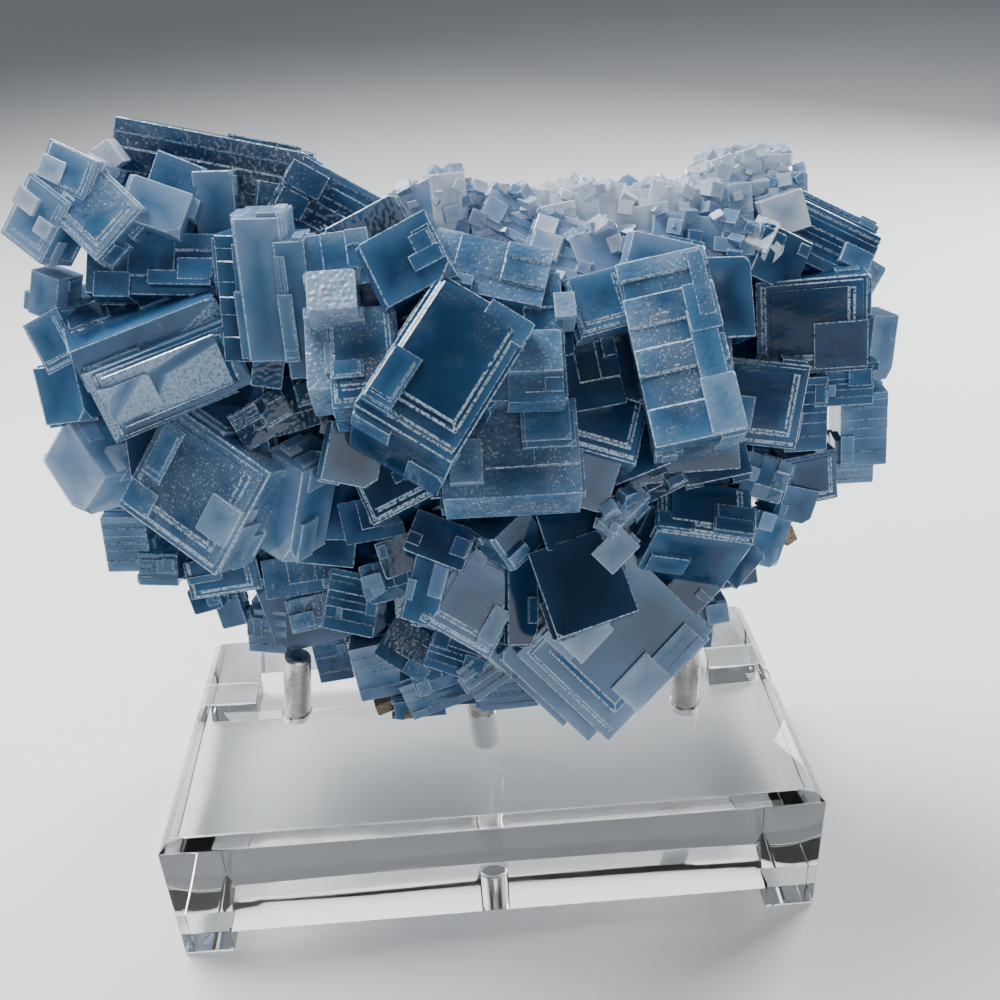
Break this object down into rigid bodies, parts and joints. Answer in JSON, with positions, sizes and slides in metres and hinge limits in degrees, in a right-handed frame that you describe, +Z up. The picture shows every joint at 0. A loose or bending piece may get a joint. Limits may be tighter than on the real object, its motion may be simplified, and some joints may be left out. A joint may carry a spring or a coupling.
{
  "type": "fluorite specimen on a stand",
  "caption": "Intergrown cluster of blue fluorite crystals resting on steel pins in a clear acrylic display block with small square feet.",
  "frame": {"origin": "middle of the whole object's outline, on the plane that the feet stand on", "axes": "+Z up; -Y is the front, the side the picture shows; +X to the viewer's right"},
  "size_m": [0.1884, 0.1036, 0.1874],
  "materials": {
    "fluorite": "crystal faces, part clear and part cloudy",
    "acrylic": "polished clear acrylic",
    "pin_steel": "satin turned steel"
  },
  "bodies": {
    "root": {"fluorite_cluster": "fluorite", "acrylic_block": "acrylic", "foot_front_left": "acrylic", "foot_front_right": "acrylic", "foot_back_left": "acrylic", "foot_back_right": "acrylic", "pin_left": "pin_steel", "pin_right": "pin_steel", "pin_centre": "pin_steel"}
  },
  "joints": []
}
